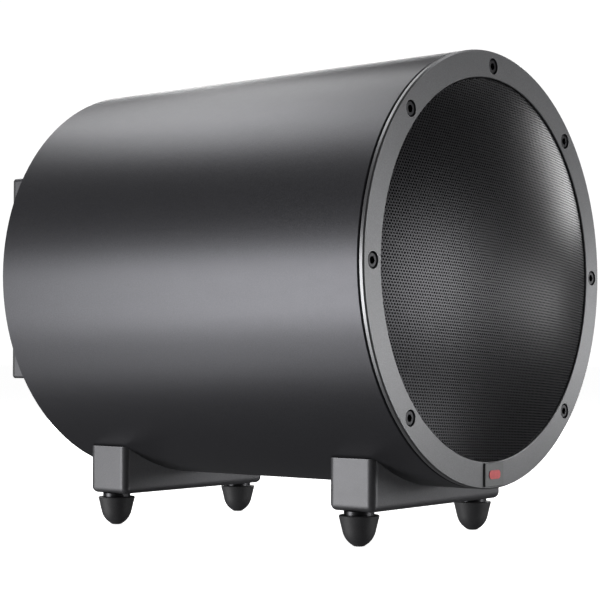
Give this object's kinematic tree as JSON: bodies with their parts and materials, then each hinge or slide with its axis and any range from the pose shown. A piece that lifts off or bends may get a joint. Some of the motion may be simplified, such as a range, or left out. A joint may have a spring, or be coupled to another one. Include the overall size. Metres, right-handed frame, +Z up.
{
  "type": "subwoofer",
  "caption": "Powered tube subwoofer: a domed perforated grille in a screwed trim ring, a satin cylinder on two saddle cradles with rubber feet, and a boxed rear amplifier.",
  "frame": {"origin": "on the floor, under the middle of the overall box", "axes": "+Z up; the grille faces -Y; the rear control panel faces +Y; the tube's axis is parallel to Y, 200 mm above the floor"},
  "size_m": [0.32, 0.421, 0.36],
  "materials": {
    "tube_coat": "satin",
    "trim_coat": "matte",
    "cradle_coat": "satin",
    "grille_paint": "satin",
    "black_screws": "satin",
    "plain_steel": "satin",
    "gasket_foam": "matte",
    "badge_paint": "satin",
    "badge_enamel": "gloss",
    "baffle_board": "matte",
    "basket_casting": "matte",
    "foot_rubber": "matte",
    "surround_rubber": "satin",
    "cone_paper": "matte",
    "spider_cloth": "matte",
    "former_foil": "satin",
    "copper_wire": "satin",
    "ferrite": "matte",
    "terminal_plastic": "matte",
    "lead_sheath": "satin",
    "tub_sheet": "satin",
    "housing_coat": "satin",
    "panel_coat": "matte",
    "fin_anodise": "matte",
    "board_laminate": "satin",
    "winding_tape": "satin",
    "can_sleeve": "gloss",
    "moulded_black": "matte",
    "gold_plate": "polished",
    "bright_nickel": "polished",
    "led_lens": "gloss",
    "red_cap": "satin",
    "black_cap": "satin"
  },
  "bodies": {
    "cabinet": {"amp_board": "board_laminate", "amp_gasket": "gasket_foam", "amp_housing": "housing_coat", "amp_tub": "tub_sheet", "badge_bar": "badge_enamel", "badge_plate": "badge_paint", "control_panel": "panel_coat", "cradle_bolts": "plain_steel", "driver_basket": "basket_casting", "driver_gasket": "gasket_foam", "driver_screws": "plain_steel", "driver_terminals": "terminal_plastic", "enclosure_tube": "tube_coat", "feet": "foot_rubber", "filter_capacitors": "can_sleeve", "foot_studs": "black_screws", "front_baffle": "baffle_board", "front_cradle": "cradle_coat", "fuse_holder": "moulded_black", "grille": "grille_paint", "heat_sink": "fin_anodise", "inlet_pins": "bright_nickel", "magnet": "ferrite", "panel_screws": "black_screws", "polarity_switch": "moulded_black", "pole_yoke": "plain_steel", "post_bases": "moulded_black", "post_studs": "gold_plate", "potentiometers": "plain_steel", "power_inlet": "moulded_black", "power_led": "led_lens", "power_transistors": "moulded_black", "rca_jacks": "gold_plate", "rear_baffle": "baffle_board", "rear_cradle": "cradle_coat", "ring_gasket": "gasket_foam", "ring_screws": "black_screws", "rocker_frame": "moulded_black", "speaker_leads": "lead_sheath", "spider": "spider_cloth", "surround": "surround_rubber", "tinsel_leads": "copper_wire", "toggle_switch": "bright_nickel", "top_plate": "plain_steel", "transformer": "winding_tape", "trim_ring": "trim_coat"},
    "moving_cone": {"cone": "cone_paper", "dust_cap": "cone_paper", "coil_former": "former_foil", "voice_coil": "copper_wire"},
    "level_dial": {"level_knob": "moulded_black"},
    "crossover_dial": {"crossover_knob": "moulded_black"},
    "rocker": {"power_rocker": "moulded_black"},
    "toggle": {"mode_toggle": "bright_nickel"},
    "slider": {"polarity_slider": "moulded_black"},
    "terminal_cap_1": {"post_nut_1": "red_cap"},
    "terminal_cap_2": {"post_nut_2": "black_cap"},
    "terminal_cap_3": {"post_nut_3": "red_cap"},
    "terminal_cap_4": {"post_nut_4": "black_cap"},
    "fuse_lid": {"fuse_cap": "moulded_black"}
  },
  "joints": [
    {"name": "cone_travel", "type": "slide", "parent": "cabinet", "child": "moving_cone", "axis": [0, -1, 0], "range_m": [-0.01, 0.01], "stiffness_N_per_m": 3500, "deforming": ["surround", "spider", "tinsel_leads"]},
    {"name": "level_turn", "type": "hinge", "parent": "cabinet", "child": "level_dial", "pos_m": [-0.01, 0.2035, 0.246], "axis": [0, -1, 0], "range_deg": [-150, 150]},
    {"name": "crossover_turn", "type": "hinge", "parent": "cabinet", "child": "crossover_dial", "pos_m": [-0.042, 0.2035, 0.246], "axis": [0, -1, 0], "range_deg": [-150, 150]},
    {"name": "power_rock", "type": "hinge", "parent": "cabinet", "child": "rocker", "pos_m": [-0.005, 0.1915, 0.148], "axis": [1, 0, 0], "range_deg": [0, 16]},
    {"name": "mode_flip", "type": "hinge", "parent": "cabinet", "child": "toggle", "pos_m": [-0.07, 0.1925, 0.246], "axis": [1, 0, 0], "range_deg": [-12, 12]},
    {"name": "polarity_slide", "type": "slide", "parent": "cabinet", "child": "slider", "axis": [-1, 0, 0], "range_m": [0, 0.004]},
    {"name": "terminal_turn_1", "type": "hinge", "parent": "cabinet", "child": "terminal_cap_1", "pos_m": [-0.004, 0.2045, 0.181], "axis": [0, 1, 0], "range_deg": [0, 720]},
    {"name": "terminal_turn_2", "type": "hinge", "parent": "cabinet", "child": "terminal_cap_2", "pos_m": [-0.023, 0.2045, 0.181], "axis": [0, 1, 0], "range_deg": [0, 720]},
    {"name": "terminal_turn_3", "type": "hinge", "parent": "cabinet", "child": "terminal_cap_3", "pos_m": [-0.042, 0.2045, 0.181], "axis": [0, 1, 0], "range_deg": [0, 720]},
    {"name": "terminal_turn_4", "type": "hinge", "parent": "cabinet", "child": "terminal_cap_4", "pos_m": [-0.061, 0.2045, 0.181], "axis": [0, 1, 0], "range_deg": [0, 720]},
    {"name": "fuse_turn", "type": "hinge", "parent": "cabinet", "child": "fuse_lid", "pos_m": [-0.036, 0.2005, 0.148], "axis": [0, 1, 0], "range_deg": [0, 90]}
  ]
}
